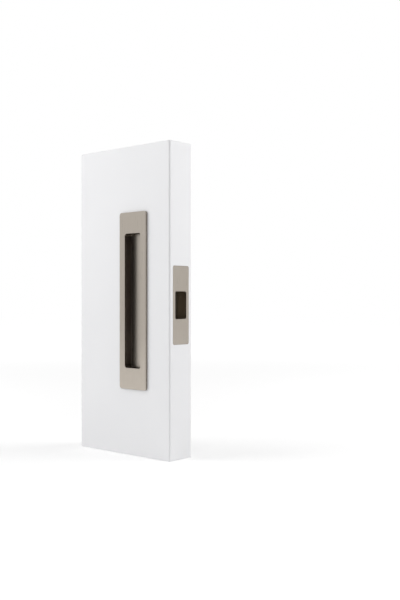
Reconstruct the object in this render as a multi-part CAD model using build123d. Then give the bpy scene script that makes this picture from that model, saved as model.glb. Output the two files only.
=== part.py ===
from build123d import *
import math
import os

os.makedirs("parts", exist_ok=True)

# Passage set for a sliding door, fitted to a white sample of the door's leading edge
# X runs along the door to its leading edge, Y goes through the leaf, and Z is up
# The front face looks along -Y, and the origin is the middle of the block's foot
# Every size is in millimetres

# Sample block
leaf_thickness = 36.0
sample_width = 146.0
sample_height = 350.0
arris_round = 1.5
end_chamfer = 0.5
cutter_radius = 5.0

# Flush pull, the same casting on both faces
opening_width = 25.0
opening_length = 152.0
opening_corner = 3.0
side_margin = 8.5
end_margin = 24.0
plate_thickness = 2.5
plate_corner = 3.0
plate_arris = 0.4
recess_depth = 10.0
pan_wall = 1.5
pan_chamfer = 1.5
floor_bevel = 0.5
casting_draft = 1.0
pull_setback = 34.0

# Edge pull, let in flush with the leading edge
edge_opening_width = 18.0
edge_opening_length = 30.4
edge_opening_corner = 2.0
edge_side_margin = 3.75
edge_end_margin = 28.0
edge_plate_thickness = 2.0
edge_plate_corner = 2.0
edge_arris = 0.3
edge_depth = 15.0
edge_floor_bevel = 0.5
edge_wall = 1.2
edge_pan_chamfer = 1.2
finger_hook = 4.0
edge_drop = 4.8

# Mounting frames, hidden under the plates
frame_thickness = 2.0
frame_cover = 2.0
edge_frame_cover = 0.8
window_play = 0.4

# Spring clips
clip_strip = 0.4
clip_width = 8.0
clip_heel = 1.5
clip_reach = 2.9
clip_crest = 0.8
clip_bite = 0.4
clip_tail = 1.5
clip_spread = 50.0

# Screws and sleeve nuts
screw_radius = 2.0
sleeve_radius = 3.0
sleeve_length = 20.0
sleeve_web = 3.0
thread_engagement = 9.0
head_radius = 4.5
wood_screw_radius = 1.75
wood_screw_length = 25.0
wood_screw_point = 4.0
wood_head_radius = 3.4
head_sink = 0.1
drive_length = 4.2
drive_width = 0.9
drive_depth = 1.5

# Clearances
frame_fit = 0.15
plate_fit = 0.15
pan_clearance = 2.4
edge_pan_clearance = 1.0
bottom_clearance = 0.5
hole_play = 0.1
sleeve_hole_play = 0.5
thread_play = 0.05
clip_play = 0.1
over_cut = 1.0

# Sizes that follow from the values above
pull_width = opening_width + 2 * side_margin
pull_length = opening_length + 2 * end_margin
pan_width = opening_width + 2 * pan_wall
pan_length = opening_length + 2 * pan_wall
pan_corner = opening_corner + pan_wall
pan_depth = recess_depth - plate_thickness + pan_wall
frame_width = pull_width - 2 * frame_cover
frame_length = pull_length - 2 * frame_cover
window_width = pan_width + 2 * window_play
window_length = pan_length + 2 * window_play
screw_offset = (window_length + frame_length) / 4
screw_length = leaf_thickness - sleeve_length + thread_engagement

edge_plate_width = edge_opening_width + 2 * edge_side_margin
edge_plate_length = edge_opening_length + 2 * edge_end_margin
edge_pan_width = edge_opening_width + 2 * edge_wall
edge_pan_length = edge_opening_length + 2 * (finger_hook + edge_wall)
edge_pan_corner = edge_opening_corner + edge_wall
edge_frame_width = edge_plate_width - 2 * edge_frame_cover
edge_frame_length = edge_plate_length - 2 * edge_frame_cover
edge_window_width = edge_pan_width + 2 * window_play
edge_window_length = edge_pan_length + 2 * window_play
edge_screw_offset = (edge_window_length + edge_frame_length) / 4

# Each fitting is drawn in the frame of its own face: Z out of the door, Y up
pull_x = sample_width / 2 - pull_setback - pull_width / 2
pull_height = sample_height / 2
edge_height = sample_height / 2 - edge_drop
front_face = Plane((pull_x, -leaf_thickness / 2, pull_height), x_dir=(1, 0, 0), z_dir=(0, -1, 0))
rear_face = Plane((pull_x, leaf_thickness / 2, pull_height), x_dir=(-1, 0, 0), z_dir=(0, 1, 0))
edge_face = Plane((sample_width / 2, 0, edge_height), x_dir=(0, 1, 0), z_dir=(1, 0, 0))
edge_seat = edge_face.offset(-edge_plate_thickness)


def slab(width, length, corner, bottom, top):
    """A plate with rounded corners between two heights."""
    return Pos(0, 0, bottom) * extrude(RectangleRounded(width, length, corner), top - bottom)


def pocket(width, length, corner, depth):
    """What a cutter takes out of a face down to a depth."""
    return slab(width, length, corner, -depth, over_cut)


def drafted(width, length, corner, top, depth):
    """A cast form that narrows downwards from a height, by the casting's draft."""
    downwards = Plane((0, 0, top), x_dir=(1, 0, 0), z_dir=(0, 0, -1))
    return extrude(downwards * RectangleRounded(width, length, corner), depth, taper=casting_draft)


def bottom_edges(form):
    """The edges round a form's lowest face."""
    return form.faces().sort_by(Axis.Z)[0].edges()


def top_edges(form):
    """The edges of a form's highest face, those of its openings too."""
    return form.faces().sort_by(Axis.Z)[-1].edges()


# Spring clips

def clip_line():
    """The middle line of a clip that hooks round a frame's bar and presses on the pan's wall."""
    top = -clip_strip / 2
    under = -frame_thickness - clip_strip / 2
    crest = under - clip_reach
    wall = -window_play - math.tan(math.radians(casting_draft)) * (frame_thickness + clip_reach)
    bump = wall - clip_bite + clip_strip / 2
    return Polyline(
        (clip_heel + clip_strip, top),
        (clip_strip / 2, top),
        (clip_strip / 2, under),
        (clip_heel, under),
        (bump, crest + clip_crest / 2),
        (bump, crest - clip_crest / 2),
        (clip_heel / 2, crest - clip_tail),
    )


def clip_form(strip, width):
    """The clip's line given a strip's thickness and a width."""
    return extrude(Plane.XZ * trace(clip_line(), strip), width / 2, both=True)


def clip_seat():
    """The notch and the shallow recess that hold a clip on its frame."""
    seat_width = clip_width + 2 * clip_play
    web = Box(
        over_cut + clip_strip + clip_play, seat_width, frame_thickness + over_cut,
        align=(Align.MIN, Align.CENTER, Align.CENTER),
    )
    flange = Box(
        over_cut + clip_heel + 2 * clip_strip, seat_width, clip_strip + over_cut,
        align=(Align.MIN, Align.CENTER, Align.MIN),
    )
    return Pos(-over_cut, 0, -frame_thickness / 2) * web + Pos(-over_cut, 0, -clip_strip) * flange


def clip_groove():
    """What a clip's bump takes out of the pan's wall."""
    return clip_form(clip_strip + 2 * clip_play, clip_width + 2 * clip_play)


def side_stations(half_width, spread):
    """Two clips on each long side of a window."""
    return [
        Location((side * half_width, height, 0), (0, 0, 90 - 90 * side))
        for side in (-1, 1)
        for height in (-spread, spread)
    ]


def end_stations(half_length):
    """One clip at each end of a window, the lower one first."""
    return [Location((0, end * half_length, 0), (0, 0, 90 * end)) for end in (-1, 1)]


# Screws and sleeve nuts

def turned(points):
    """A form turned about Z from half of its outline, given as radius and height."""
    return revolve(Plane.XZ * make_face(Polyline(*points, close=True)), Axis.Z)


def drive_recess():
    """The cross for the driver, cut down from a sunk head's top."""
    bar = Box(drive_length, drive_width, drive_depth + head_sink, align=(Align.CENTER, Align.CENTER, Align.MAX))
    return bar + Rot(0, 0, 90) * bar


def machine_screw():
    """Countersunk machine screw, its head just below height 0."""
    return turned([
        (0, -head_sink),
        (head_radius - head_sink, -head_sink),
        (screw_radius, screw_radius - head_radius),
        (screw_radius, -screw_length),
        (0, -screw_length),
    ]) - drive_recess()


def sleeve_nut():
    """Barrel nut with the same head, tapped from its far end."""
    bore_radius = screw_radius + thread_play
    return turned([
        (0, -head_sink),
        (head_radius - head_sink, -head_sink),
        (sleeve_radius, sleeve_radius - head_radius),
        (sleeve_radius, -sleeve_length),
        (bore_radius, -sleeve_length),
        (bore_radius, -sleeve_web),
        (0, -sleeve_web),
    ]) - drive_recess()


def wood_screw():
    """Countersunk wood screw, tapering to a point."""
    return turned([
        (0, -head_sink),
        (wood_head_radius - head_sink, -head_sink),
        (wood_screw_radius, wood_screw_radius - wood_head_radius),
        (wood_screw_radius, wood_screw_point - wood_screw_length),
        (0, -wood_screw_length),
    ]) - drive_recess()


def countersunk_hole(hole_radius, mouth_radius):
    """A hole through a frame with a cone that fits the screw's head."""
    return turned([
        (0, over_cut),
        (mouth_radius + over_cut, over_cut),
        (hole_radius, hole_radius - mouth_radius),
        (hole_radius, -frame_thickness - over_cut),
        (0, -frame_thickness - over_cut),
    ])


# Mounting frames

def mounting_frame(outer, window, hole, hole_offset, stations):
    """A flat ring with a countersunk hole at each end and a seat for each clip."""
    frame = slab(*outer, -frame_thickness, 0) - slab(*window, -frame_thickness - over_cut, over_cut)
    for height in (-hole_offset, hole_offset):
        frame -= Pos(0, height, 0) * hole
    for station in stations:
        frame -= station * clip_seat()
    return frame


# Pulls

def flush_pull(stations):
    """Plate and finger pan in one casting, with a groove for each clip."""
    pan = drafted(pan_width, pan_length, pan_corner, 0, pan_depth)
    pan = chamfer(bottom_edges(pan), pan_chamfer)
    for station in stations:
        pan -= station * clip_groove()
    recess = drafted(opening_width, opening_length, opening_corner, plate_thickness, recess_depth)
    recess = chamfer(bottom_edges(recess), floor_bevel)
    pull = slab(pull_width, pull_length, plate_corner, 0, plate_thickness) + pan - recess
    return chamfer(top_edges(pull), plate_arris)


def edge_pull(stations):
    """Flat plate with a deep pocket behind it, longer than its mouth so that a finger hooks in."""
    pan = drafted(
        edge_pan_width, edge_pan_length, edge_pan_corner,
        -edge_plate_thickness, edge_depth + edge_wall - edge_plate_thickness,
    )
    pan = chamfer(bottom_edges(pan), edge_pan_chamfer)
    for station in stations:
        pan -= Pos(0, 0, -edge_plate_thickness) * station * clip_groove()
    cavity = drafted(
        edge_opening_width, edge_opening_length + 2 * finger_hook, edge_opening_corner,
        -edge_plate_thickness, edge_depth - edge_plate_thickness,
    )
    cavity = chamfer(bottom_edges(cavity), edge_floor_bevel)
    mouth = pocket(
        edge_opening_width, edge_opening_length, edge_opening_corner, edge_plate_thickness + over_cut
    )
    plate = slab(edge_plate_width, edge_plate_length, edge_plate_corner, -edge_plate_thickness, 0)
    pull = plate + pan - cavity - mouth
    return chamfer(top_edges(pull), edge_arris)


# Sample block

def pull_mortice():
    """The rebate and the mortice for one flush pull, with its two through holes."""
    rebate = pocket(frame_width + 2 * frame_fit, frame_length + 2 * frame_fit, cutter_radius, frame_thickness)
    mortice = pocket(
        pan_width + 2 * pan_clearance, pan_length + 2 * pan_clearance, cutter_radius,
        pan_depth + bottom_clearance,
    )
    hole = Cylinder(sleeve_radius + sleeve_hole_play, leaf_thickness)
    for height in (-screw_offset, screw_offset):
        rebate += Pos(0, height, -leaf_thickness / 2) * hole
    return rebate + mortice


def edge_mortice():
    """The stepped rebate and the mortice for the edge pull, with its two pilot holes."""
    plate_rebate = pocket(
        edge_plate_width + 2 * plate_fit, edge_plate_length + 2 * plate_fit,
        edge_plate_corner + plate_fit, edge_plate_thickness,
    )
    frame_rebate = pocket(
        edge_frame_width + 2 * frame_fit, edge_frame_length + 2 * frame_fit,
        cutter_radius, edge_plate_thickness + frame_thickness,
    )
    mortice = pocket(
        edge_pan_width + 2 * edge_pan_clearance, edge_pan_length + 2 * pan_clearance,
        cutter_radius, edge_depth + edge_wall + bottom_clearance,
    )
    cut = plate_rebate + frame_rebate + mortice
    pilot = Cylinder(
        wood_screw_radius + thread_play, wood_screw_length,
        align=(Align.CENTER, Align.CENTER, Align.MAX),
    )
    for height in (-edge_screw_offset, edge_screw_offset):
        cut += Pos(0, height, -edge_plate_thickness) * pilot
    return cut


def door_block():
    """A length of door with rounded upright arrises and eased ends, cut for the three fittings."""
    block = extrude(RectangleRounded(sample_width, leaf_thickness, arris_round), sample_height)
    for end in (0, -1):
        block = chamfer(block.faces().sort_by(Axis.Z)[end].edges(), end_chamfer)
    for face in (front_face, rear_face):
        block -= face * pull_mortice()
    return block - edge_face * edge_mortice()


# Files, one for each piece

def save(node, piece):
    """Writes one piece under its node's name."""
    export_step(piece, f"parts/{node}.step")


save("door_block", door_block())

pull_stations = side_stations(window_width / 2, clip_spread)
pull = flush_pull(pull_stations)
pull_frame = mounting_frame(
    (frame_width, frame_length, cutter_radius),
    (window_width, window_length, pan_corner + window_play),
    countersunk_hole(sleeve_radius + hole_play, head_radius),
    screw_offset,
    pull_stations,
)
clip = clip_form(clip_strip, clip_width)
for side, face in (("front", front_face), ("rear", rear_face)):
    save(f"{side}_pull", face * pull)
    save(f"{side}_frame", face * pull_frame)
    for number, station in enumerate(pull_stations, 1):
        save(f"{side}_clip_{number}", face * station * clip)

for place, height in (("lower", -screw_offset), ("upper", screw_offset)):
    save(f"through_screw_{place}", front_face * Pos(0, height, 0) * machine_screw())
    save(f"sleeve_nut_{place}", rear_face * Pos(0, height, 0) * sleeve_nut())

edge_stations = end_stations(edge_window_length / 2)
save("edge_pull", edge_face * edge_pull(edge_stations))
edge_frame = mounting_frame(
    (edge_frame_width, edge_frame_length, cutter_radius),
    (edge_window_width, edge_window_length, edge_pan_corner + window_play),
    countersunk_hole(wood_screw_radius + hole_play, wood_head_radius),
    edge_screw_offset,
    edge_stations,
)
save("edge_frame", edge_seat * edge_frame)
for place, sign, station in zip(("lower", "upper"), (-1, 1), edge_stations):
    save(f"edge_clip_{place}", edge_seat * station * clip)
    save(f"edge_screw_{place}", edge_seat * Pos(0, sign * edge_screw_offset, 0) * wood_screw())
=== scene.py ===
# %% [markdown]
# A passage set for a sliding door, fitted to a short white sample of the door's leading edge.
# Two long flush pulls sit back to back in the leaf, one on each face, and a small pull is let
# into the edge, for the fingertip that draws the door out of its pocket in the wall.
# The frame is the measured model. Every piece below is made at the place that it gives, in
# metres, so nothing has to be lined up by eye.

import math

import bmesh
import bpy
from mathutils import Matrix, Vector


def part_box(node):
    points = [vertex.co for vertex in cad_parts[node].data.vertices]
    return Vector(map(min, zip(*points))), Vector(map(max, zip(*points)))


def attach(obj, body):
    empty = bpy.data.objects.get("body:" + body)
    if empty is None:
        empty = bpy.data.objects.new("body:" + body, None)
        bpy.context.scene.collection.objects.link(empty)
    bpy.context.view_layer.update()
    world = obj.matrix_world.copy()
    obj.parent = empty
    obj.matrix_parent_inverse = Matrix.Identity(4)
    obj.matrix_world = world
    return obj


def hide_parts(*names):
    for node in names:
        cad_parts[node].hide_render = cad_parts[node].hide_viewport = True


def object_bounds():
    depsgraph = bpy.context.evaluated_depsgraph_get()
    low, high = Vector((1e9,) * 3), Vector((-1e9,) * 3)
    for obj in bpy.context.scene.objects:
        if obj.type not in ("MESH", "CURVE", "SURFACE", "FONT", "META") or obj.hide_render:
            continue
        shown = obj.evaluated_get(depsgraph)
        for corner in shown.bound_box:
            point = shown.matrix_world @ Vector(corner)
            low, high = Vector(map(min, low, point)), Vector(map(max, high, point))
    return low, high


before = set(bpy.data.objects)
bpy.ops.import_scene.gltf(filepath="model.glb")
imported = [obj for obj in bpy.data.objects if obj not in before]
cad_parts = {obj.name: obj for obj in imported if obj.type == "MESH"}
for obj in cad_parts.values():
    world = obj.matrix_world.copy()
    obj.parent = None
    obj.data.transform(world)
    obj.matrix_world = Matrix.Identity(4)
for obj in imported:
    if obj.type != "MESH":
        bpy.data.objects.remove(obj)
cad_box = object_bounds()
MM = 0.001
RIGHT_ANGLE = math.radians(90)


def in_mm(lengths):
    """Lengths in metres as rounded millimetres, for a printed line."""
    return [round(length / MM, 2) for length in lengths]


print("frame box, mm:", in_mm(cad_box[1] - cad_box[0]))

# %% [markdown]
# The camera comes first, because everything else is judged through it. It stands level with the
# middle of the block, about a metre away and half a right angle round from the broad face, so
# that this face and the edge both show. It could track the block, but the block is left of the
# middle of the picture, so a place and two angles say where it looks instead. The lens comes
# from the focal length in pixels on the picture's long side.

# %% Camera
PICTURE_HEIGHT = 600
FOCAL_PIXELS = 828.6
SENSOR = 36.0
CAMERA_PLACE = (0.6878, -0.6753, 0.1791)
CAMERA_TURN = math.radians(40.99)
CAMERA_TILT = math.radians(-0.2)

camera_data = bpy.data.cameras.new("camera")
camera_data.sensor_width = SENSOR
camera_data.lens = FOCAL_PIXELS / PICTURE_HEIGHT * SENSOR
camera = bpy.data.objects.new("camera", camera_data)
bpy.context.scene.collection.objects.link(camera)
camera.location = CAMERA_PLACE
camera.rotation_euler = (RIGHT_ANGLE + CAMERA_TILT, 0, CAMERA_TURN)
bpy.context.scene.camera = camera
bpy.context.scene.view_settings.view_transform = "Standard"
print("lens, mm:", round(camera_data.lens, 2))

# %% [markdown]
# Three small tools serve every finish. A colour is written as it looks on a screen, as a hex
# value, and the shader wants it as light, so one function turns it to linear by the screen's own
# curve. Another adds a node, gives it its settings, and fills each socket with a number or a
# link. The third makes an empty material to put them in.
# A Mix node has sockets of the same names for numbers, vectors and colours, so a name can't say
# which one is meant. The places of its two colours, and of the mixed one, are named instead.

# %% Colours and nodes
COLOUR_A, COLOUR_B = 6, 7
MIXED_COLOUR = 2


def linear(hex_colour):
    """A screen colour such as "#B4AB9E" as linear red, green, blue and alpha."""
    parts = [int(hex_colour[i:i + 2], 16) / 255 for i in (1, 3, 5)]
    return [c / 12.92 if c <= 0.04045 else ((c + 0.055) / 1.055) ** 2.4 for c in parts] + [1.0]


def add_node(tree, kind, settings=None, sockets=None):
    """Add a node, set its properties, then fill or link its sockets."""
    node = tree.nodes.new(kind)
    for name, value in (settings or {}).items():
        setattr(node, name, value)
    for name, value in (sockets or {}).items():
        if isinstance(value, bpy.types.NodeSocket):
            tree.links.new(value, node.inputs[name])
        else:
            node.inputs[name].default_value = value
    return node


def new_material(name):
    """An empty material, its node tree and its output node."""
    material = bpy.data.materials.new(name)
    material.use_nodes = True
    material.node_tree.nodes.clear()
    return material, material.node_tree, add_node(material.node_tree, "ShaderNodeOutputMaterial")


print("white in linear light:", linear("#FFFFFF"))

# %% [markdown]
# The set stands in a white room. Walls could be built, but a world with one white background
# does the same and lights the block evenly from all sides. Rays that come straight from the
# camera, or off metal, see it at full white, and rays that light the object get a plainer level,
# at which white paint keeps its tone.

# %% White room
FILL_LEVEL = 0.385

world = bpy.data.worlds.new("white_room")
bpy.context.scene.world = world
world.use_nodes = True
room = world.node_tree
room.nodes.clear()
rays = add_node(room, "ShaderNodeLightPath")
straight = add_node(room, "ShaderNodeMath", {"operation": "MAXIMUM"}, {
    0: rays.outputs["Is Camera Ray"], 1: rays.outputs["Is Glossy Ray"],
})
shown = add_node(room, "ShaderNodeMath", {"operation": "MAXIMUM"}, {
    0: straight.outputs[0], 1: rays.outputs["Is Transmission Ray"],
})
level = add_node(room, "ShaderNodeMapRange", None, {
    "Value": shown.outputs[0], "To Min": FILL_LEVEL, "To Max": 1.0,
})
backdrop = add_node(room, "ShaderNodeBackground", None, {
    "Color": linear("#FFFFFF"), "Strength": level.outputs[0],
})
add_node(room, "ShaderNodeOutputWorld", None, {"Surface": backdrop.outputs[0]})
print("light from the room:", FILL_LEVEL)

# %% [markdown]
# The floor is one large plane of matt white, which catches the block's shadow. The lamps fade
# with distance and the floor with them, so the floor adds some light for the camera, a little by
# the block and more further off, and meets the white room without an edge. Metal sees a floor
# that glows evenly, or the lower end of each plate would be as white as paper.

# %% Floor
FLOOR_SIZE = 12.0
NEAR, FAR = 0.3, 1.8
NEAR_GLOW, FAR_GLOW = 0.22, 0.65
MIRRORED_GLOW = 0.35

floor_material, tree, output = new_material("matt_white_floor")
matt = add_node(tree, "ShaderNodeBsdfDiffuse", None, {"Color": linear("#F4F4F4")})
place = add_node(tree, "ShaderNodeTexCoord")
distance = add_node(tree, "ShaderNodeVectorMath", {"operation": "LENGTH"}, {
    0: place.outputs["Object"],
})
fading = add_node(tree, "ShaderNodeMapRange", None, {
    "Value": distance.outputs["Value"], "From Min": NEAR, "From Max": FAR,
    "To Min": NEAR_GLOW, "To Max": FAR_GLOW,
})
rays = add_node(tree, "ShaderNodeLightPath")
mirrored = add_node(tree, "ShaderNodeMath", {"operation": "MULTIPLY"}, {
    0: rays.outputs["Is Glossy Ray"], 1: MIRRORED_GLOW,
})
glow = add_node(tree, "ShaderNodeMath", {"operation": "MULTIPLY_ADD"}, {
    0: rays.outputs["Is Camera Ray"], 1: fading.outputs[0], 2: mirrored.outputs[0],
})
light = add_node(tree, "ShaderNodeEmission", None, {"Strength": glow.outputs[0]})
both = add_node(tree, "ShaderNodeAddShader", None, {0: matt.outputs[0], 1: light.outputs[0]})
tree.links.new(both.outputs[0], output.inputs["Surface"])

bpy.ops.object.select_all(action="DESELECT")
bpy.ops.mesh.primitive_plane_add(size=FLOOR_SIZE)
floor = bpy.context.object
floor.name = "floor"
floor.data.materials.append(floor_material)
print("floor, m:", FLOOR_SIZE)

# %% [markdown]
# Lamps and cards stand round the block as in a studio, so a place is given as one would say it
# there: so many degrees round from the front, so many up, and so far off. Three coordinates
# would do too, but they don't say what a lamp looks at, and all of these look at the block's
# middle.

# %% Places round the block
VIEW_SIDE = 45.0
MIDDLE = (cad_box[0] + cad_box[1]) / 2


def around(azimuth, elevation, distance):
    """A point seen from the block's middle, azimuth 0 being in front of the broad face."""
    a, e = math.radians(azimuth), math.radians(elevation)
    direction = Vector((math.sin(a) * math.cos(e), -math.cos(a) * math.cos(e), math.sin(e)))
    return MIDDLE + distance * direction


def face_middle(thing):
    """Turn a lamp or a card towards the block."""
    thing.rotation_euler = (MIDDLE - thing.location).to_track_quat("-Z", "Y").to_euler()


print("middle of the block, mm:", in_mm(MIDDLE))

# %% [markdown]
# Two soft boxes light the block, one square to each side of the camera's line and a little above
# the block. Each lights two faces, which fade a little towards the foot, and the corner between
# the camera's two faces looks at neither box, which is why it shows as a grey line. Two faint
# boxes, one over the camera and one overhead, keep that line and the shadows soft. A spot or a
# sun would draw hard shadows, so all four are area lamps, nearly as wide as they are far away.

# %% Soft boxes
BOX_SIZE = 0.9
BOX_DISTANCE = 1.1
BOX_ELEVATION = 25
SIDE_POWER = 6.4
FRONT_POWER = 1.1
TOP_SIZE = 1.2
TOP_DISTANCE = 1.6
TOP_ELEVATION = 80
TOP_POWER = 3.0


def soft_box(name, spot, size, power):
    """A large square lamp that faces the block and isn't seen."""
    lamp = bpy.data.lights.new(name, "AREA")
    lamp.size, lamp.energy = size, power
    holder = bpy.data.objects.new(name, lamp)
    bpy.context.scene.collection.objects.link(holder)
    holder.location = spot
    face_middle(holder)
    holder.visible_camera = False
    holder.visible_glossy = False
    print(name, [round(c, 2) for c in spot], power, "W")


for name, turn, power in (
    ("left_box", -90, SIDE_POWER), ("right_box", 90, SIDE_POWER), ("front_box", 0, FRONT_POWER),
):
    soft_box(name, around(VIEW_SIDE + turn, BOX_ELEVATION, BOX_DISTANCE), BOX_SIZE, power)
soft_box("top_box", around(VIEW_SIDE, TOP_ELEVATION, TOP_DISTANCE), TOP_SIZE, TOP_POWER)

# %% [markdown]
# Satin metal shows what it faces, not what lights it. The hollow of a pull throws the camera's own
# side back at the camera, so a tall black card stands there, as in a studio, and another opposite
# it for the pull behind. The cards are narrow and near, so that a plate seen square on doesn't
# mirror them. The camera looks through both, and they take no light from the rest.

# %% Black cards
CARD_WIDTH, CARD_HEIGHT = 0.42, 0.76
CARD_DISTANCE = 0.3

black_card, tree, output = new_material("black_velvet_card")
velvet = add_node(tree, "ShaderNodeBsdfDiffuse", None, {"Color": linear("#0B0B0B")})
tree.links.new(velvet.outputs[0], output.inputs["Surface"])

for number, azimuth in enumerate((VIEW_SIDE, VIEW_SIDE + 180)):
    bpy.ops.object.select_all(action="DESELECT")
    bpy.ops.mesh.primitive_plane_add(size=1, location=around(azimuth, 0, CARD_DISTANCE))
    card = bpy.context.object
    card.name = f"card_{number}"
    card.scale = (CARD_WIDTH, CARD_HEIGHT, 1)
    face_middle(card)
    card.data.materials.append(black_card)
    card.visible_camera = False
    card.visible_diffuse = False
    card.visible_shadow = False
    print(card.name, [round(c, 2) for c in card.location])

# %% [markdown]
# Satin nickel: a zinc casting is polished, plated with nickel and drawn along a fine abrasive
# belt. The eye sees a warm grey metal whose reflections are blurred, with hair lines that all run
# the long way. The shader's own anisotropy could stretch the blur, but it needs a map on every
# mesh, so the hair lines are noise that is stretched along Z. Their real pitch is about a
# tenth of a millimetre, which a picture of the whole block can't show, so they are drawn
# coarser and faint. Polished metal turns white at a low angle, and the brushing takes that down,
# which the grazing tint does here.
# The belt reaches only the open faces. The sides of a plate and the deep pocket keep the duller
# plate that came out of the bath, so the same recipe makes a second, rougher finish for them,
# and its colour is also painted a little darker as painted shade. The end walls of the long
# hollow get a third, dark colour, which is painted shade for the shade at the hollow's ends.

# %% Satin nickel
HAIR_PITCH = 0.45 * MM
HAIR_LENGTH = 30 * MM
HAIR_DEPTH = 0.004 * MM
NOISE_LOW, NOISE_HIGH = 0.3, 0.7
GRAZING_TINT = "#A0A0A0"


def satin_nickel(name, dark, pale, sharpest, dullest):
    """Nickel plate, brushed lengthwise, in two tones and two roughnesses."""
    material, tree, output = new_material(name)
    place = add_node(tree, "ShaderNodeTexCoord")
    stretched = add_node(tree, "ShaderNodeMapping", None, {
        "Vector": place.outputs["Object"],
        "Scale": (1 / HAIR_PITCH, 1 / HAIR_PITCH, 1 / HAIR_LENGTH),
    })
    hairs = add_node(tree, "ShaderNodeTexNoise", None, {
        "Vector": stretched.outputs[0], "Scale": 1.0, "Detail": 3.0, "Roughness": 0.6,
    })
    tone = add_node(tree, "ShaderNodeMix", {"data_type": "RGBA"}, {
        "Factor": hairs.outputs[0], COLOUR_A: linear(dark), COLOUR_B: linear(pale),
    })
    blur = add_node(tree, "ShaderNodeMapRange", None, {
        "Value": hairs.outputs[0], "From Min": NOISE_LOW, "From Max": NOISE_HIGH,
        "To Min": sharpest, "To Max": dullest,
    })
    relief = add_node(tree, "ShaderNodeBump", None, {
        "Height": hairs.outputs[0], "Strength": 0.15, "Distance": HAIR_DEPTH,
    })
    metal = add_node(tree, "ShaderNodeBsdfPrincipled", None, {
        "Base Color": tone.outputs[MIXED_COLOUR], "Metallic": 1.0, "Roughness": blur.outputs[0],
        "Specular Tint": linear(GRAZING_TINT),
        "Normal": relief.outputs[0],
    })
    tree.links.new(metal.outputs[0], output.inputs["Surface"])
    return material


nickel = satin_nickel("satin_nickel", "#AEA69C", "#B8B0A6", sharpest=0.27, dullest=0.32)
# rougher than the brushed nickel, and painted a little darker as painted shade
unbrushed_shaded_nickel = satin_nickel("unbrushed_nickel_with_painted_shade", "#A49C91", "#ADA59A", sharpest=0.28, dullest=0.34)
# painted shade: a dark nickel for the end walls of the long hollow, where shade falls
painted_shade_nickel = satin_nickel("painted_shade_nickel", "#615A51", "#6A635A", sharpest=0.20, dullest=0.25)
print("hair lines,", round(1 / (HAIR_PITCH / MM), 1), "to the millimetre")

# %% [markdown]
# White lacquer: two coats of polyurethane sprayed on primed board and left as they fell. The eye
# sees a clean white with a soft sheen, and in the sheen a very low ripple, the orange peel,
# whose waves are a millimetre or two apart and a few thousandths deep. The spray also lies a
# little thicker in some places than in others, so wide, faint clouds vary the white and its
# sheen. A plain white would do from afar, but in a close view it would look like plastic.

# %% White lacquer
PEEL_PITCH = 1.6 * MM
PEEL_DEPTH = 0.003 * MM
CLOUD_SIZE = 60 * MM

lacquer, tree, output = new_material("satin_white_lacquer")
place = add_node(tree, "ShaderNodeTexCoord")
peel = add_node(tree, "ShaderNodeTexNoise", None, {
    "Vector": place.outputs["Object"], "Scale": 1 / PEEL_PITCH, "Detail": 1.0,
})
cloud = add_node(tree, "ShaderNodeTexNoise", None, {
    "Vector": place.outputs["Object"], "Scale": 1 / CLOUD_SIZE, "Detail": 2.0,
})
tone = add_node(tree, "ShaderNodeMix", {"data_type": "RGBA"}, {
    "Factor": cloud.outputs[0], COLOUR_A: linear("#EEEEF0"), COLOUR_B: linear("#F2F2F3"),
})
relief = add_node(tree, "ShaderNodeBump", None, {
    "Height": peel.outputs[0], "Strength": 0.3, "Distance": PEEL_DEPTH,
})
sheen = add_node(tree, "ShaderNodeMapRange", None, {
    "Value": cloud.outputs[0], "To Min": 0.28, "To Max": 0.36,
})
paint = add_node(tree, "ShaderNodeBsdfPrincipled", None, {
    "Base Color": tone.outputs[MIXED_COLOUR], "Roughness": sheen.outputs[0], "IOR": 1.5,
    "Normal": relief.outputs[0],
})
tree.links.new(paint.outputs[0], output.inputs["Surface"])
print("orange peel, mm:", PEEL_PITCH / MM)

# %% [markdown]
# Inside the mortices the board is bare: fibreboard, cut with a router. The eye sees a matt mid
# brown, felted from fine fibres, with a slightly furry cut. One noise at the size of the fibres
# gives both the two browns and the fur. An image of board could do it too, but its grain would
# stretch on the walls, and noise on Object coordinates doesn't.

# %% Bare fibreboard
FIBRE = 0.5 * MM
FUR_DEPTH = 0.05 * MM

fibreboard, tree, output = new_material("bare_fibreboard")
place = add_node(tree, "ShaderNodeTexCoord")
fibres = add_node(tree, "ShaderNodeTexNoise", None, {
    "Vector": place.outputs["Object"], "Scale": 1 / FIBRE, "Detail": 4.0, "Roughness": 0.7,
})
tone = add_node(tree, "ShaderNodeMix", {"data_type": "RGBA"}, {
    "Factor": fibres.outputs[0], COLOUR_A: linear("#8C6E4E"), COLOUR_B: linear("#B59470"),
})
relief = add_node(tree, "ShaderNodeBump", None, {
    "Height": fibres.outputs[0], "Strength": 0.6, "Distance": FUR_DEPTH,
})
board = add_node(tree, "ShaderNodeBsdfPrincipled", None, {
    "Base Color": tone.outputs[MIXED_COLOUR], "Roughness": 0.9, "Normal": relief.outputs[0],
})
tree.links.new(board.outputs[0], output.inputs["Surface"])
print("fibres, mm:", FIBRE / MM)

# %% [markdown]
# The flush pull is one casting: a flat plate, a long hollow for the fingers, and the pan that
# holds the hollow inside the door. The frame gives its outside sizes and its place. The rest
# are the maker's sizes: the opening, the walls, and the small rounds on every edge.

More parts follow.
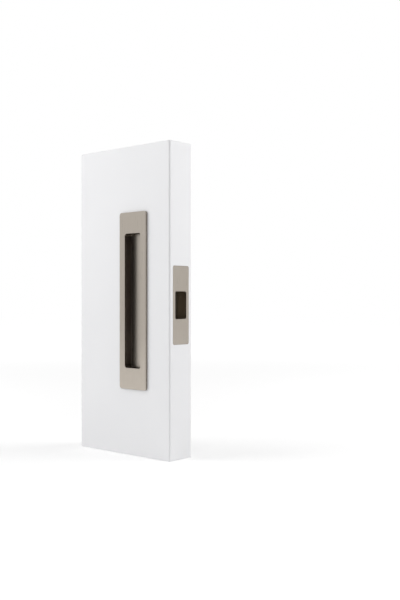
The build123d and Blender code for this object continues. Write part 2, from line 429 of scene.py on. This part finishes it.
# %% Sizes of the flush pull
leaf_low, leaf_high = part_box("door_block")
pull_low, pull_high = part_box("front_pull")
PLATE = (pull_high.x - pull_low.x, pull_high.z - pull_low.z)
PLATE_CORNER = 3 * MM
PLATE_THICKNESS = leaf_low.y - pull_low.y
PLATE_EDGE = 0.4 * MM
OPENING = (25 * MM, 152 * MM)
OPENING_CORNER = 3 * MM
RECESS_DEPTH = 10 * MM
FLOOR_ROUND = 0.25 * MM
PAN_WALL = 1.5 * MM
PAN_CHAMFER = 1.5 * MM
PAN = (OPENING[0] + 2 * PAN_WALL, OPENING[1] + 2 * PAN_WALL)
PAN_DEPTH = RECESS_DEPTH - PLATE_THICKNESS + PAN_WALL
PULL_SPOT = Vector(((pull_low.x + pull_high.x) / 2, leaf_low.y, (pull_low.z + pull_high.z) / 2))
print("plate, mm:", in_mm((*PLATE, PLATE_THICKNESS)))

# %% [markdown]
# The casting could be cut from a slab with booleans. It is drawn as one shell instead, from the
# opening down into the hollow and round the outside to the pan, because a shell keeps its edges
# clean enough to bevel. It is made lying down, Z pointing out of the door, and stood up later.
# An operator acts on what is selected. By hand the eye picks it. Here one helper picks an object
# and nothing else, and another picks the edges or faces that pass a test.

# %% Start the flush pull
TOUCH = 0.001 * MM


def pick(piece):
    """Select one object and make it the active one, with nothing else selected."""
    bpy.ops.object.select_all(action="DESELECT")
    piece.select_set(True)
    bpy.context.view_layer.objects.active = piece


def start_piece(name, material):
    """An empty mesh of one material, picked and in edit mode."""
    piece = bpy.data.objects.new(name, bpy.data.meshes.new(name))
    piece.data.materials.append(material)
    bpy.context.scene.collection.objects.link(piece)
    pick(piece)
    bpy.ops.object.mode_set(mode="EDIT")
    return piece


def select(kind, test):
    """Select the edges or faces of the mesh in edit mode that pass a test."""
    bpy.ops.mesh.select_mode(type=kind)
    bpy.ops.mesh.select_all(action="DESELECT")
    mesh = bmesh.from_edit_mesh(bpy.context.object.data)
    found = [part for part in (mesh.edges if kind == "EDGE" else mesh.faces) if test(part)]
    for part in found:
        part.select_set(True)
    bmesh.update_edit_mesh(bpy.context.object.data)
    return len(found)


front_pull = start_piece("satin_front_pull", nickel)
print("points nearer than", TOUCH / MM, "mm count as one")

# %% [markdown]
# Every form of this set is a rounded rectangle at some height: the plates, their openings, the
# pans behind them and the mortices. By hand that is a plane, scaled, with its four corners
# bevelled. Its face is thrown away, and the outline of edges stays, ready to be joined to the
# next one.

# %% Outlines of the opening and the plate
CORNER_STEPS = 7


def add_outline(width, length, corner, height):
    """Add a rounded rectangle of edges at a height, and leave it selected."""
    bpy.ops.mesh.select_mode(type="VERT")
    bpy.ops.mesh.select_all(action="DESELECT")
    bpy.ops.mesh.primitive_plane_add(size=1, location=(0, 0, height))
    bpy.ops.transform.resize(value=(width, length, 1))
    bpy.ops.mesh.bevel(offset=corner, segments=CORNER_STEPS, affect="VERTICES")
    bpy.ops.mesh.select_mode(type="EDGE")
    bpy.ops.mesh.delete(type="ONLY_FACE")
    select("EDGE", lambda edge: edge.is_wire)
    print("  outline, mm:", in_mm((width, length)), "at", *in_mm([height]))


add_outline(*OPENING, OPENING_CORNER, PLATE_THICKNESS)
add_outline(*PLATE, PLATE_CORNER, PLATE_THICKNESS)

# %% [markdown]
# The plate's face is the ring between the two outlines. An inset would be quicker, but it leaves
# the same margin all round, and this plate has a narrow margin at its sides and a wide one at
# its ends, so the two outlines are bridged.

# %% Face of the plate
def bridge_open():
    """Join the two open outlines with a ring of faces, and say how large it is."""
    select("EDGE", lambda edge: edge.is_wire or edge.is_boundary)
    bpy.ops.mesh.bridge_edge_loops()
    mesh = bmesh.from_edit_mesh(bpy.context.object.data)
    area = sum(face.calc_area() for face in mesh.faces if face.select)
    print("  bridged a ring of", round(area / MM ** 2, 1), "square mm")


bridge_open()

# %% [markdown]
# The hollow takes the ends of four fingers. A casting leaves its mould only if its walls lean a
# little, so a hollow is narrower at the bottom by the draft. The opening's edge is drawn down to
# the floor, drawn in by that amount, and closed with a face.

# %% Long hollow
DRAFT_ANGLE = 1.0
DRAFT = math.tan(math.radians(DRAFT_ANGLE))


def select_open(width=math.inf, length=math.inf):
    """Select the open edges, or only those inside a rectangle."""
    def is_inside(edge):
        return all(
            abs(corner.co.x) < width / 2 + TOUCH and abs(corner.co.y) < length / 2 + TOUCH
            for corner in edge.verts
        )
    select("EDGE", lambda edge: edge.is_boundary and is_inside(edge))


def extrude_down(depth):
    """Draw the selected edges down into a wall."""
    bpy.ops.mesh.extrude_edges_move(TRANSFORM_OT_translate={"value": (0, 0, -depth)})


def draw_cup(width, length, depth):
    """Draw the selected outline down to a floor, in by the draft, and close it."""
    extrude_down(depth)
    inward = 2 * DRAFT * depth
    bpy.ops.transform.resize(value=(1 - inward / width, 1 - inward / length, 1))
    bpy.ops.mesh.edge_face_add()
    print("  cup, mm:", *in_mm([depth]), "deep and narrower by", *in_mm([inward]))


select_open(*OPENING)
draw_cup(*OPENING, RECESS_DEPTH)

# %% [markdown]
# A casting has no sharp inside corners, so the hollow's wall runs into its floor in a small round.
# A Bevel modifier would round every edge alike. Here each edge gets its own size: the sharp ones
# that lie at one height are picked, and the bevel operator rounds them in three steps.

# %% Round floor of the hollow
CORNER_ANGLE = math.radians(40)
ROUND_STEPS = 3


def lies_at(part, height):
    """Whether an edge or a face lies level at a height."""
    return all(abs(corner.co.z - height) < TOUCH for corner in part.verts)


def bevel_at(height, size, steps):
    """Round or chamfer the sharp edges that lie at a height."""
    def is_corner(edge):
        return lies_at(edge, height) and edge.calc_face_angle(0) > CORNER_ANGLE
    count = select("EDGE", is_corner)
    bpy.ops.mesh.bevel(offset=size, segments=steps, affect="EDGES", clamp_overlap=False)
    print("  bevelled", count, "edges at", *in_mm([height]), "mm")


bevel_at(PLATE_THICKNESS - RECESS_DEPTH, FLOOR_ROUND, ROUND_STEPS)

# %% [markdown]
# The back of the casting is drawn in the same way. The plate's outer edge goes back by the
# plate's thickness, a ring leads in to the pan, and the pan is a cup round the hollow, with a
# chamfer that guides it into the mortice. The plate's front edge is rounded last, for the hand.
# Then the seams are merged and all the faces turned outwards.

# %% Pan and plate edge
CHAMFER_STEPS = 1


def end_piece(piece):
    """Close the mesh's seams, point its faces outwards and leave edit mode."""
    bpy.ops.mesh.select_mode(type="VERT")
    bpy.ops.mesh.select_all(action="SELECT")
    bpy.ops.mesh.remove_doubles(threshold=TOUCH)
    bpy.ops.mesh.normals_make_consistent(inside=False)
    bpy.ops.object.mode_set(mode="OBJECT")
    print(piece.name, len(piece.data.polygons), "faces")


select_open()
extrude_down(PLATE_THICKNESS)
add_outline(*PAN, OPENING_CORNER + PAN_WALL, 0)
bridge_open()
select_open()
draw_cup(*PAN, PAN_DEPTH)
bevel_at(-PAN_DEPTH, PAN_CHAMFER, CHAMFER_STEPS)
bevel_at(PLATE_THICKNESS, PLATE_EDGE, ROUND_STEPS)
end_piece(front_pull)

# %% [markdown]
# Four spring clips hold the pull, and each snaps into a short groove in the pan's wall. A groove
# starts and ends in the middle of a wall, where there is no edge to extrude, so a thin cylinder
# is laid along the wall and a boolean takes its form out.

# %% Grooves for the clips
CLIP_SPREAD = 50 * MM
GROOVE_DEPTH = 5.1 * MM
GROOVE_RADIUS = 0.9 * MM
GROOVE_LENGTH = 8.2 * MM
GROOVE_STAND_OFF = 0.35 * MM
GROOVE_SIDES = 20


def apply_modifier(piece, kind, **settings):
    """Add a modifier with its settings and apply it."""
    pick(piece)
    modifier = piece.modifiers.new(kind.lower(), kind)
    for name, value in settings.items():
        setattr(modifier, name, value)
    bpy.ops.object.modifier_apply(modifier=modifier.name)


def cut(piece, cutter):
    """Take a cutter's form out of a piece, and throw the cutter away."""
    apply_modifier(
        piece, "BOOLEAN", operation="DIFFERENCE", solver="EXACT", object=cutter,
        material_mode="TRANSFER",
    )
    bpy.data.objects.remove(cutter)


def cut_groove(piece, spot, along):
    """Cut one groove with a cylinder that lies along X or Y."""
    bpy.ops.object.select_all(action="DESELECT")
    turn = (0, RIGHT_ANGLE, 0) if along == "X" else (RIGHT_ANGLE, 0, 0)
    bpy.ops.mesh.primitive_cylinder_add(
        vertices=GROOVE_SIDES, radius=GROOVE_RADIUS, depth=GROOVE_LENGTH,
        location=spot, rotation=turn,
    )
    bpy.context.object.data.materials.append(nickel)
    cut(piece, bpy.context.object)
    print("  groove at, mm:", in_mm(spot))


groove_x = PAN[0] / 2 - DRAFT * GROOVE_DEPTH + GROOVE_STAND_OFF
for side in (-1, 1):
    for end in (-1, 1):
        cut_groove(front_pull, (side * groove_x, end * CLIP_SPREAD, -GROOVE_DEPTH), "Y")

# %% [markdown]
# The belt never touches the plate's sides or the pan, so these get the duller nickel, which is
# also painted a little darker as painted shade, and the end walls of the hollow get a dark
# nickel that is painted shade. A mask painted on the surface could say where, but whole faces
# change here, so they are picked in edit mode and given another slot. A face is a side if its
# normal is within 30 degrees of level, and an end wall if its normal is turned endwards by more
# than that.

# %% Dull sides, and painted shade on the sides and ends
SIDE_LEAN = math.sin(math.radians(30))


def give_finish(piece, material, test):
    """Give the faces that pass a test a finish of their own."""
    piece.data.materials.append(material)
    piece.active_material_index = len(piece.data.materials) - 1
    pick(piece)
    bpy.ops.object.mode_set(mode="EDIT")
    count = select("FACE", test)
    bpy.ops.object.material_slot_assign()
    bpy.ops.object.mode_set(mode="OBJECT")
    print("  ", count, "faces of", material.name)


def is_in_hollow(face):
    """Whether a face belongs to the long hollow, and not to the pan round it or the plate."""
    middle = face.calc_center_median()
    return (
        abs(middle.x) < OPENING[0] / 2 + TOUCH and abs(middle.y) < OPENING[1] / 2 + TOUCH
        and middle.z > PLATE_THICKNESS - RECESS_DEPTH - TOUCH
    )


# the plate's sides and the pan: rougher nickel, painted a little darker as painted shade
give_finish(
    front_pull, unbrushed_shaded_nickel,
    lambda face: not is_in_hollow(face) and abs(face.normal.z) < SIDE_LEAN,
)
# the hollow's end walls get the dark nickel, which is painted shade
give_finish(
    front_pull, painted_shade_nickel,
    lambda face: is_in_hollow(face) and abs(face.normal.y) > SIDE_LEAN,
)

# %% [markdown]
# Both faces of the door have the same casting, so it is copied with a mesh of its own. Each is
# stood up against its own face of the door, turned by so many degrees from the front, and that
# place is put into the mesh, so that the object itself stays at the origin. Smooth shading then
# rounds the bevels to the eye, and weighted normals keep the broad faces flat beside them.

# %% Place both flush pulls
FRONT, EDGE, REAR = 0, 90, 180
SMOOTH_ANGLE = math.radians(38)
MOST_WEIGHT = 100


def stand_up(piece, turn, spot):
    """Turn a piece from the bench to its face of the door, and put that place into its mesh."""
    piece.matrix_world = (
        Matrix.Translation(spot) @ Matrix.Rotation(math.radians(turn), 4, "Z")
        @ Matrix.Rotation(RIGHT_ANGLE, 4, "X")
    )
    pick(piece)
    bpy.ops.object.transform_apply(location=True, rotation=True, scale=True)


def smooth(piece):
    """Smooth the rounded edges and keep the broad faces flat."""
    pick(piece)
    bpy.ops.object.shade_smooth_by_angle(angle=SMOOTH_ANGLE)
    apply_modifier(piece, "WEIGHTED_NORMAL", keep_sharp=True, weight=MOST_WEIGHT)


def finish_piece(piece, node):
    """Smooth a piece, put it under the root body, hide the frame's part that it stands for, and
    print both sizes.
    """
    smooth(piece)
    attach(piece, "root")
    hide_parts(node)
    low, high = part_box(node)
    corners = [v.co for v in piece.data.vertices]
    size = [max(c[i] for c in corners) - min(c[i] for c in corners) for i in range(3)]
    print(piece.name, "mm:", in_mm(size), "frame:", in_mm(high - low))


pick(front_pull)
bpy.ops.object.duplicate(linked=False)
rear_pull = bpy.context.object
rear_pull.name = "satin_rear_pull"
stand_up(front_pull, FRONT, PULL_SPOT)
stand_up(rear_pull, REAR, (PULL_SPOT.x, leaf_high.y, PULL_SPOT.z))
finish_piece(front_pull, "front_pull")
finish_piece(rear_pull, "rear_pull")

# %% [markdown]
# The edge pull is a second, smaller casting that lies flush with the door's edge. Its sizes are
# found in the same way: the plate and its place from the frame, and the mouth and the walls
# behind it from the maker.

# %% Sizes of the edge pull
edge_low, edge_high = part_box("edge_pull")
EDGE_PLATE = (edge_high.y - edge_low.y, edge_high.z - edge_low.z)
EDGE_CORNER = 2 * MM
EDGE_THICKNESS = 2 * MM
EDGE_ROUND = 0.3 * MM
MOUTH = (18 * MM, 30.4 * MM)
POCKET_DEPTH = 15 * MM
HOOK = 4 * MM
EDGE_WALL = 1.2 * MM
EDGE_PAN = (MOUTH[0] + 2 * EDGE_WALL, MOUTH[1] + 2 * (HOOK + EDGE_WALL))
EDGE_SPOT = Vector((edge_high.x, (edge_low.y + edge_high.y) / 2, (edge_low.z + edge_high.z) / 2))
print("edge plate, mm:", in_mm((*EDGE_PLATE, EDGE_THICKNESS)))

# %% [markdown]
# Behind its mouth the pocket runs on up and down, so that a fingertip hooks behind the plate.
# The mouth is first drawn down through the plate and on to the floor. A boolean could then cut
# the undercut, but it is easier as by hand: the walls at each end, with their round corners, are
# selected as faces and extruded outwards. A wall counts as an end once it is turned by more than
# 3 degrees from the straight sides. That leaves the floor in three faces, which are dissolved
# into one, so that a single bevel rounds its whole edge.

# %% Pocket of the edge pull
END_TURN = math.sin(math.radians(3))


def is_end_wall(face, end):
    """Whether a face is in the pocket's wall at one end, behind the plate."""
    middle = face.calc_center_median()
    return (
        abs(face.normal.y) > END_TURN and middle.y * end > 0
        and middle.z < -EDGE_THICKNESS and not lies_at(face, -POCKET_DEPTH)
    )


edge_pull = start_piece("satin_edge_pull", nickel)
add_outline(*MOUTH, EDGE_CORNER, 0)
add_outline(*EDGE_PLATE, EDGE_CORNER, 0)
bridge_open()
select_open(*MOUTH)
extrude_down(EDGE_THICKNESS)
draw_cup(*MOUTH, POCKET_DEPTH - EDGE_THICKNESS)
for end in (-1, 1):
    count = select("FACE", lambda face: is_end_wall(face, end))
    bpy.ops.mesh.extrude_region_move(TRANSFORM_OT_translate={"value": (0, end * HOOK, 0)})
    print("  drew", count, "faces out by", *in_mm([HOOK]), "mm")
select("FACE", lambda face: lies_at(face, -POCKET_DEPTH))
bpy.ops.mesh.dissolve_faces()
bevel_at(-POCKET_DEPTH, FLOOR_ROUND, ROUND_STEPS)

# %% [markdown]
# The back is drawn as on the flush pull: the plate's edge, a ring, and a pan that is longer than
# the mouth by the hook at each end. The helpers are the same, and only the sizes are new.

# %% Back of the edge pull
select_open()
extrude_down(EDGE_THICKNESS)
add_outline(*EDGE_PAN, EDGE_CORNER + EDGE_WALL, -EDGE_THICKNESS)
bridge_open()
select_open()
draw_cup(*EDGE_PAN, POCKET_DEPTH + EDGE_WALL - EDGE_THICKNESS)
bevel_at(-POCKET_DEPTH - EDGE_WALL, EDGE_WALL, CHAMFER_STEPS)
bevel_at(0, EDGE_ROUND, ROUND_STEPS)
end_piece(edge_pull)

# %% [markdown]
# Two clips hold the edge pull, so each end wall of its pan has a groove. The belt reaches only
# the plate's face, and all that lies behind it keeps the duller nickel, whose colour is painted a
# little darker as painted shade. Here height alone can tell the two apart, so no list of faces is
# needed. Then it is stood up against the door's edge.

# %% Grooves, finish and place of the edge pull
groove_y = EDGE_PAN[1] / 2 - DRAFT * GROOVE_DEPTH + GROOVE_STAND_OFF
for end in (-1, 1):
    cut_groove(edge_pull, (0, end * groove_y, -EDGE_THICKNESS - GROOVE_DEPTH), "X")
# painted shade: everything behind the edge plate gets the slightly darker nickel
give_finish(edge_pull, unbrushed_shaded_nickel, lambda face: face.calc_center_median().z < -EDGE_ROUND)
stand_up(edge_pull, EDGE, EDGE_SPOT)
finish_piece(edge_pull, "edge_pull")

# %% [markdown]
# The block is a length of door, cut off and lacquered all over. Its corners are eased with fine
# paper, because lacquer won't hold on a sharp edge. It starts as a cube, scaled and moved in
# edit mode, and its edges are bevelled: the four upright ones by more, and in more steps,
# because the one that faces the camera is seen from top to foot.

# %% Door block
ARRIS_ROUND = 2.0 * MM
ARRIS_STEPS = 8
END_ROUND = 0.5 * MM


def is_upright(edge):
    """Whether an edge stands upright."""
    return abs(edge.verts[0].co.z - edge.verts[1].co.z) > MM


bpy.ops.object.select_all(action="DESELECT")
bpy.ops.mesh.primitive_cube_add(size=1)
block = bpy.context.object
block.name = "lacquered_block"
block.data.materials.append(lacquer)
bpy.ops.object.mode_set(mode="EDIT")
bpy.ops.transform.resize(value=leaf_high - leaf_low)
bpy.ops.transform.translate(value=(leaf_high + leaf_low) / 2)
select("EDGE", is_upright)
bpy.ops.mesh.bevel(offset=ARRIS_ROUND, segments=ARRIS_STEPS, affect="EDGES")
for height in (leaf_low.z, leaf_high.z):
    bevel_at(height, END_ROUND, ROUND_STEPS)
end_piece(block)

# %% [markdown]
# Each flush pull needs a shallow rebate for its mounting frame and a deeper mortice for its pan.
# The real ones are cut with a router, and a boolean with a cutter of the same form is the same
# work. The cutters bring the bare board with them: a face that a cutter makes takes the
# cutter's material.

# %% Rebates and mortices for the flush pulls
CUTTER_CORNER = 5 * MM
FRAME_THICKNESS = 2 * MM
FIT = 0.15 * MM
PAN_ROOM = 2.4 * MM
BOTTOM_ROOM = 0.5 * MM
OVER = 1 * MM


def box_of_face(node, across):
    """The width and length of a hidden piece, seen from outside the door."""
    low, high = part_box(node)
    return high[across] - low[across], high.z - low.z


def router(width, length, corner, depth):
    """The form that a router takes out of a face."""
    cutter = start_piece("cutter", fibreboard)
    add_outline(width, length, corner, OVER)
    bpy.ops.mesh.edge_face_add()
    bpy.ops.mesh.extrude_region_move(TRANSFORM_OT_translate={"value": (0, 0, -depth - OVER)})
    end_piece(cutter)
    return cutter


frame_width, frame_length = box_of_face("front_frame", 0)
for turn, face_y in ((FRONT, leaf_low.y), (REAR, leaf_high.y)):
    rebate = router(
        frame_width + 2 * FIT, frame_length + 2 * FIT, CUTTER_CORNER, FRAME_THICKNESS
    )
    mortice = router(
        PAN[0] + 2 * PAN_ROOM, PAN[1] + 2 * PAN_ROOM, CUTTER_CORNER, PAN_DEPTH + BOTTOM_ROOM
    )
    for cutter in (rebate, mortice):
        stand_up(cutter, turn, (PULL_SPOT.x, face_y, PULL_SPOT.z))
        cut(block, cutter)
print("block, faces so far:", len(block.data.polygons))

# %% [markdown]
# Two long holes join the rebates on the two sides, above and below the mortices, for the sleeve
# nuts and their screws. A drill makes them, and here a cylinder does. Their heights are those
# of the screws, which the frame knows.

# %% Through holes
SLEEVE_HOLE = 3.5 * MM
DRILL_SIDES = 32


def middle_height(node):
    """The height of the middle of a hidden piece."""
    low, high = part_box(node)
    return (low.z + high.z) / 2


def drill(radius, height, depth):
    """A round hole down from a face."""
    bpy.ops.object.select_all(action="DESELECT")
    bpy.ops.mesh.primitive_cylinder_add(
        vertices=DRILL_SIDES, radius=radius, depth=depth + OVER,
        location=(0, height, (OVER - depth) / 2),
    )
    bpy.context.object.data.materials.append(fibreboard)
    return bpy.context.object


for node in ("through_screw_lower", "through_screw_upper"):
    through = leaf_high.y - leaf_low.y + OVER
    hole = drill(SLEEVE_HOLE, middle_height(node) - PULL_SPOT.z, through)
    stand_up(hole, FRONT, PULL_SPOT)
    cut(block, hole)
print("block, faces so far:", len(block.data.polygons))

# %% [markdown]
# The edge pull sits deeper, because its plate is let in too: a rebate for the plate, one for the
# frame under it, and the mortice for the pan, each cut after the other like steps. Two thin
# holes take the wood screws. Then the block is smoothed as the pulls were.

# %% Cuts for the edge pull
EDGE_PAN_ROOM = 1.0 * MM
WOOD_SCREW_HOLE = 1.8 * MM

edge_frame_width, edge_frame_length = box_of_face("edge_frame", 1)
edge_cutters = [
    router(EDGE_PLATE[0] + 2 * FIT, EDGE_PLATE[1] + 2 * FIT, EDGE_CORNER + FIT, EDGE_THICKNESS),
    router(
        edge_frame_width + 2 * FIT, edge_frame_length + 2 * FIT, CUTTER_CORNER,
        EDGE_THICKNESS + FRAME_THICKNESS,
    ),
    router(
        EDGE_PAN[0] + 2 * EDGE_PAN_ROOM, EDGE_PAN[1] + 2 * PAN_ROOM, CUTTER_CORNER,
        POCKET_DEPTH + EDGE_WALL + BOTTOM_ROOM,
    ),
]
for node in ("edge_screw_lower", "edge_screw_upper"):
    screw_depth = leaf_high.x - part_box(node)[0].x
    edge_cutters.append(
        drill(WOOD_SCREW_HOLE, middle_height(node) - EDGE_SPOT.z, screw_depth)
    )
for cutter in edge_cutters:
    stand_up(cutter, EDGE, EDGE_SPOT)
    cut(block, cutter)
finish_piece(block, "door_block")

# %% [markdown]
# What hides inside keeps its measured shape and only gets its finish. The mounting frames are
# zinc plated steel sheet, a cool pale grey with a soft gloss. The clips are hardened spring
# steel, left bare, which is darker and glossier. Screws and sleeve nuts have a bright zinc
# plate, which is the palest and the sharpest of the three. A faint mottle, the grain of the
# metal, keeps each of them from looking like paint. One recipe with other colours serves all
# three, because nothing of them shows when the set is fitted.

# %% Hidden hardware
def plain_metal(name, dark, pale, roughness, grain):
    """A metal with a mottled tone."""
    material, tree, output = new_material(name)
    place = add_node(tree, "ShaderNodeTexCoord")
    mottle = add_node(tree, "ShaderNodeTexNoise", None, {
        "Vector": place.outputs["Object"], "Scale": 1 / grain, "Detail": 3.0,
    })
    tone = add_node(tree, "ShaderNodeMix", {"data_type": "RGBA"}, {
        "Factor": mottle.outputs[0], COLOUR_A: linear(dark), COLOUR_B: linear(pale),
    })
    metal = add_node(tree, "ShaderNodeBsdfPrincipled", None, {
        "Base Color": tone.outputs[MIXED_COLOUR], "Metallic": 1.0, "Roughness": roughness,
    })
    tree.links.new(metal.outputs[0], output.inputs["Surface"])
    return material


plated_sheet = plain_metal(
    "zinc_plated_sheet", "#9A9C9F", "#B4B6B8", roughness=0.45, grain=0.8 * MM
)
spring_steel = plain_metal(
    "bare_spring_steel", "#77726C", "#8E8983", roughness=0.3, grain=1.5 * MM
)
bright_zinc = plain_metal(
    "bright_zinc_plate", "#C4C2BC", "#D8D6D0", roughness=0.22, grain=1.0 * MM
)
for word, material in (
    ("frame", plated_sheet), ("clip", spring_steel),
    ("screw", bright_zinc), ("sleeve", bright_zinc),
):
    things = [thing for node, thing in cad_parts.items() if word in node]
    for thing in things:
        thing.data.materials.clear()
        thing.data.materials.append(material)
    print(len(things), word, "pieces of", material.name)
